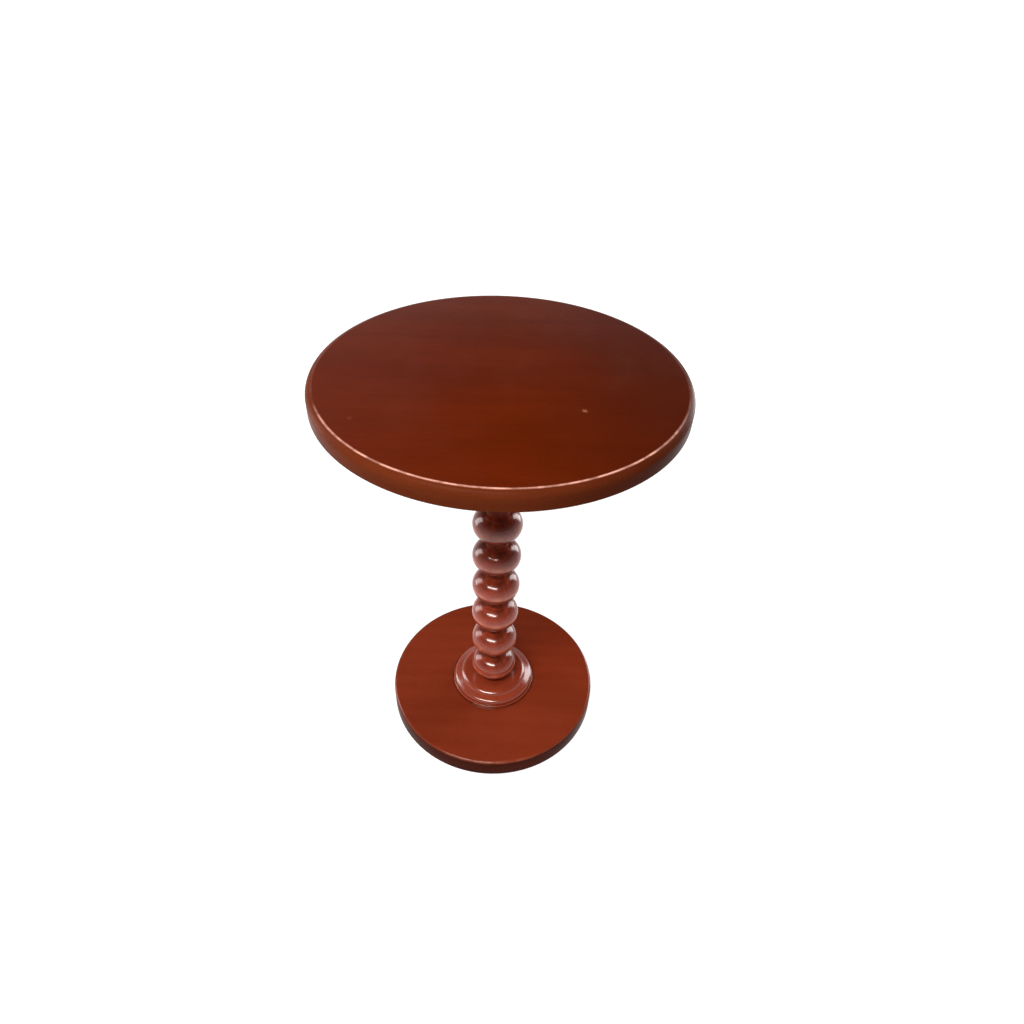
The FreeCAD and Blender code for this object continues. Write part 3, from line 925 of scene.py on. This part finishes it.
def makeZinc(look):
    material, tree, shader, objectSpace = newMaterial(look["name"])
    spangle = tree.nodes.new("ShaderNodeTexVoronoi")
    spangle.inputs["Scale"].default_value = look["spangleScale"]
    tree.links.new(objectSpace, spangle.inputs["Vector"])
    cloud = noiseNode(tree, objectSpace, *look["cloud"])
    tint = mixColour(tree, cloud, look["dark"], look["light"])
    flake = mathNode(tree, "MULTIPLY", spangle.outputs["Distance"], look["spangleShare"])
    tint = mixColour(tree, flake, tint, look["spangleColour"])
    rough = rangeNode(tree, cloud, *noiseSpan, *look["roughRange"])
    turning = stretched(tree, objectSpace, look["turningStretch"])
    turning = noiseNode(tree, turning, *look["turning"])
    wireSurface(tree, shader, tint, rough, bumpNode(tree, turning, *look["bump"]))
    shader.inputs["Metallic"].default_value = 1.0
    return material


def makeCoat(look):
    # cloudy tint, with a finer noise for the roughness and the bump
    material, tree, shader, objectSpace = newMaterial(look["name"])
    cloud = noiseNode(tree, objectSpace, *look["cloud"])
    fine = noiseNode(tree, objectSpace, *look["fine"])
    tint = mixColour(tree, cloud, look["dark"], look["light"])
    rough = rangeNode(tree, fine, *noiseSpan, *look["roughRange"])
    wireSurface(tree, shader, tint, rough, bumpNode(tree, fine, *look["bump"]))
    shader.inputs["Metallic"].default_value = look["metal"]
    return material


def makeNylon(look):
    material, tree, shader, objectSpace = newMaterial(look["name"])
    scuff = stretched(tree, objectSpace, look["scuffStretch"], look["scuffTurn"])
    scuff = noiseNode(tree, scuff, *look["scuff"])
    cloud = noiseNode(tree, objectSpace, *look["cloud"])
    plain = mixColour(tree, cloud, look["dark"], look["light"])
    scraped = rangeNode(tree, scuff, *look["scuffRange"], 0.0, look["scuffShare"])
    marked = mixColour(tree, scraped, plain, look["scuffColour"])
    rough = rangeNode(tree, scuff, *noiseSpan, *look["roughRange"])
    wireSurface(tree, shader, marked, rough, bumpNode(tree, scuff, *look["bump"]))
    return material


def dressNodes(material, names):
    for name in names:
        mesh = nodes[name].data
        mesh.materials.clear()
        mesh.materials.append(material)


dressNodes(makeZinc(zincLook), [
    "plate_screws", "top_bolt", "base_bolt",
    "base_lock_washer", "base_flat_washer", "glide_screws",
])
dressNodes(makeCoat(brassLook), ["column_top_insert", "column_foot_insert"])
dressNodes(makeCoat(powderLook), ["top_plate"])
dressNodes(makeNylon(nylonLook), [f"floor_glide_{corner}" for corner in range(1, 5)])
dressNodes(makePlainWood(beechLook), ["collar_dowels"])
print("hardware dressed")

# studio

studio = {
    "floorSize": 60.0,
    "floorColour": (0.40, 0.40, 0.40),
    "floorRough": 0.9,
    "floorShine": 0.1,
    "nearGlow": 0.80,
    "farGlow": 1.00,
    "nearReach": 0.6,
    "farReach": 1.7,
    "horizon": 0.60,
    "horizonRange": (0.20, 0.52),
    "backSky": 0.02,
    "frontSky": 0.14,
    "backRange": (-0.2, 0.5),
    "leftGlow": 0.16,
    "leftRange": (-0.30, 0.05),
    "fillShare": 0.70,
}
softboxes = [
    {
        "name": "leftWindow",
        "place": (-1.50, 0.50, 0.85),
        "target": (0, 0, 0.45),
        "size": (0.58, 1.50),
        "power": 17,
        "colour": (1.0, 0.97, 0.97),
    },
    {
        "name": "rightWindow",
        "place": (1.27, 1.07, 0.85),
        "target": (0, 0, 0.45),
        "size": (0.58, 1.50),
        "power": 20,
        "colour": (1.0, 0.97, 0.97),
    },
    {
        "name": "ceilingPanel",
        "place": (-0.46, -1.04, 1.95),
        "target": (0, -0.03, 0.28),
        "size": (1.25, 0.32),
        "power": 47.5,
        "colour": (1.0, 0.97, 0.93),
    },
]


def seenRays(tree):
    # 1 for what the camera sees, straight or through a reflection
    path = tree.nodes.new("ShaderNodeLightPath")
    seen = mathNode(tree, "MAXIMUM", path.outputs["Is Camera Ray"], path.outputs["Is Glossy Ray"])
    return mathNode(tree, "MAXIMUM", seen, path.outputs["Is Transmission Ray"])


def makeFloor(look):
    bpy.ops.object.select_all(action="DESELECT")
    bpy.ops.mesh.primitive_plane_add(size=look["floorSize"], location=(0, 0, 0))
    floor = bpy.context.active_object
    floor.name = "pale_floor"
    material, tree, shader, objectSpace = newMaterial("paleFloor")
    shader.inputs["Base Color"].default_value = (*look["floorColour"], 1)
    shader.inputs["Roughness"].default_value = look["floorRough"]
    shader.inputs["Specular IOR Level"].default_value = look["floorShine"]
    shader.inputs["Emission Color"].default_value = (1, 1, 1, 1)
    reach = tree.nodes.new("ShaderNodeVectorMath")
    reach.operation = "LENGTH"
    tree.links.new(objectSpace, reach.inputs[0])
    reaches = (look["nearReach"], look["farReach"])
    glow = rangeNode(tree, reach.outputs["Value"], *reaches, look["nearGlow"], look["farGlow"])
    glow = mathNode(tree, "MULTIPLY", seenRays(tree), glow)
    tree.links.new(glow, shader.inputs["Emission Strength"])
    floor.data.materials.append(material)


def makeWorld(look):
    # pale near the horizon, dim overhead and dimmest behind the table, where the top is mirrored
    world = bpy.data.worlds.new("softRoom")
    scene.world = world
    world.use_nodes = True
    tree = world.node_tree
    background = tree.nodes["Background"]
    background.inputs["Color"].default_value = (1, 1, 1, 1)
    axes = axesOf(tree, tree.nodes.new("ShaderNodeTexCoord").outputs["Generated"])
    behind = rangeNode(tree, axes["Y"], *look["backRange"], 0.0, 1.0)
    sky = rangeNode(tree, behind, 0.0, 1.0, look["frontSky"], look["backSky"])
    low = rangeNode(tree, axes["Z"], *look["horizonRange"], 1.0, 0.0)
    level = mathNode(tree, "ADD", sky, mathNode(tree, "MULTIPLY", low, look["horizon"]))
    left = rangeNode(tree, axes["X"], *look["leftRange"], look["leftGlow"], 0.0)
    level = mathNode(tree, "ADD", level, mathNode(tree, "MULTIPLY", left, behind))
    fill = rangeNode(tree, seenRays(tree), 0.0, 1.0, look["fillShare"], 1.0)
    tree.links.new(mathNode(tree, "MULTIPLY", level, fill), background.inputs["Strength"])


def addSoftbox(look):
    light = bpy.data.lights.new(look["name"], "AREA")
    light.shape = "RECTANGLE"
    light.size, light.size_y = look["size"]
    light.energy = look["power"]
    light.color = look["colour"]
    lamp = bpy.data.objects.new(look["name"], light)
    scene.collection.objects.link(lamp)
    lamp.location = look["place"]
    aim = Vector(look["target"]) - Vector(look["place"])
    lamp.rotation_euler = aim.to_track_quat("-Z", "Y").to_euler()
    lamp.visible_camera = False


makeFloor(studio)
makeWorld(studio)
for box in softboxes:
    addSoftbox(box)
print("studio lit")

# camera at the photograph's viewing angle

cameraLook = {
    "place": (-0.00074, -0.75634, 1.03188),
    "pitch": 40.039,
    "yaw": 1.518,
    "roll": 2.592,
    "focalPixels": 720.19,
    "imagePixels": 1024,
    "sensor": 36.0,
    "clip": (0.05, 200),
}


def makeCamera(look):
    lens = bpy.data.cameras.new("photoCamera")
    lens.sensor_width = look["sensor"]
    lens.lens = look["focalPixels"] / look["imagePixels"] * look["sensor"]
    lens.clip_start, lens.clip_end = look["clip"]
    camera = bpy.data.objects.new("photoCamera", lens)
    scene.collection.objects.link(camera)
    turn = Matrix.Rotation(math.radians(-look["yaw"]), 4, "Z")
    turn = turn @ Matrix.Rotation(math.radians(90 - look["pitch"]), 4, "X")
    turn = turn @ Matrix.Rotation(math.radians(look["roll"]), 4, "Z")
    camera.location = look["place"]
    camera.rotation_euler = turn.to_euler()
    scene.camera = camera


makeCamera(cameraLook)
print("camera set")
